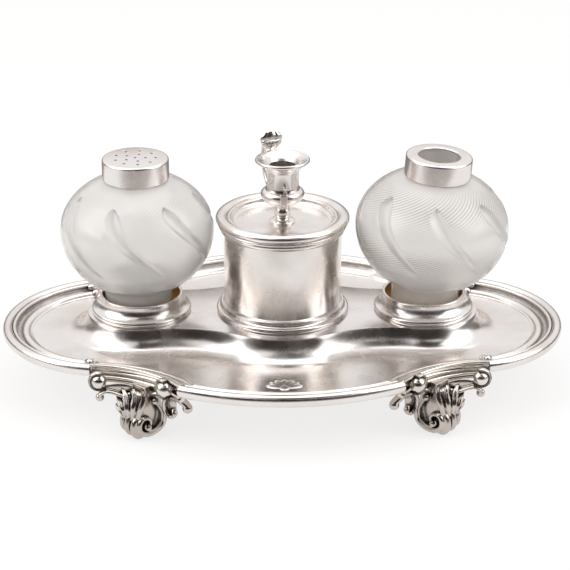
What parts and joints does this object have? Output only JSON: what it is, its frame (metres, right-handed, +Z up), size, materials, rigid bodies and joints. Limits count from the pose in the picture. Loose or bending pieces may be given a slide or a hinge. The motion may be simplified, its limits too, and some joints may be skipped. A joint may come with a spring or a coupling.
{
  "type": "inkstand",
  "caption": "Silver inkstand: footed cartouche tray with ring-held glass pots for ink and pounce and a round covered box whose lid carries a taper socket with a loop handle.",
  "frame": {"origin": "centre of the tray on the surface it stands on", "axes": "+X along the tray to the ink pot, +Y to the back, where the handle is, +Z up along the box's axis"},
  "size_m": [0.302, 0.196, 0.1351],
  "materials": {
    "silver": "polished silver, lightly worn",
    "cast_silver": "cast silver, polished on the high places and dark in the recesses",
    "cut_glass": "frosted glass with cut lines"
  },
  "bodies": {
    "tray": {"tray_body": "silver", "border_front": "silver", "border_back": "silver", "border_left": "silver", "border_right": "silver", "corner_front_left": "cast_silver", "corner_front_right": "cast_silver", "corner_back_left": "cast_silver", "corner_back_right": "cast_silver", "foot_front_left": "cast_silver", "foot_front_right": "cast_silver", "foot_back_left": "cast_silver", "foot_back_right": "cast_silver", "pounce_ring": "silver", "ink_ring": "silver", "box_wall": "silver", "box_floor": "silver", "box_base_moulding": "silver", "box_top_moulding": "silver", "front_ornament": "silver"},
    "lid": {"lid_plate": "silver", "lid_rim": "silver", "lid_bezel": "silver", "candle_stem": "silver", "stem_nut": "silver", "candle_socket": "silver", "socket_lug": "silver", "handle_loop": "silver", "thumb_leaf": "silver"},
    "pounce_pot": {"pounce_glass": "cut_glass", "pounce_neck_band": "silver"},
    "pounce_cap": {"pounce_cap": "silver"},
    "ink_pot": {"ink_glass": "cut_glass", "ink_neck_band": "silver"},
    "ink_collar": {"ink_collar": "silver"}
  },
  "joints": [
    {"name": "lid_lift", "type": "slide", "parent": "tray", "child": "lid", "axis": [0, 0, 1], "range_m": [0, 0.06]},
    {"name": "pounce_pot_lift", "type": "slide", "parent": "tray", "child": "pounce_pot", "axis": [0, 0, 1], "range_m": [0, 0.05]},
    {"name": "ink_pot_lift", "type": "slide", "parent": "tray", "child": "ink_pot", "axis": [0.0721, -0.0262, 0.9971], "range_m": [0, 0.05]},
    {"name": "pounce_cap_pull", "type": "slide", "parent": "pounce_pot", "child": "pounce_cap", "axis": [0, 0, 1], "range_m": [0, 0.03]},
    {"name": "ink_collar_pull", "type": "slide", "parent": "ink_pot", "child": "ink_collar", "axis": [0.0721, -0.0262, 0.9971], "range_m": [0, 0.03]}
  ]
}
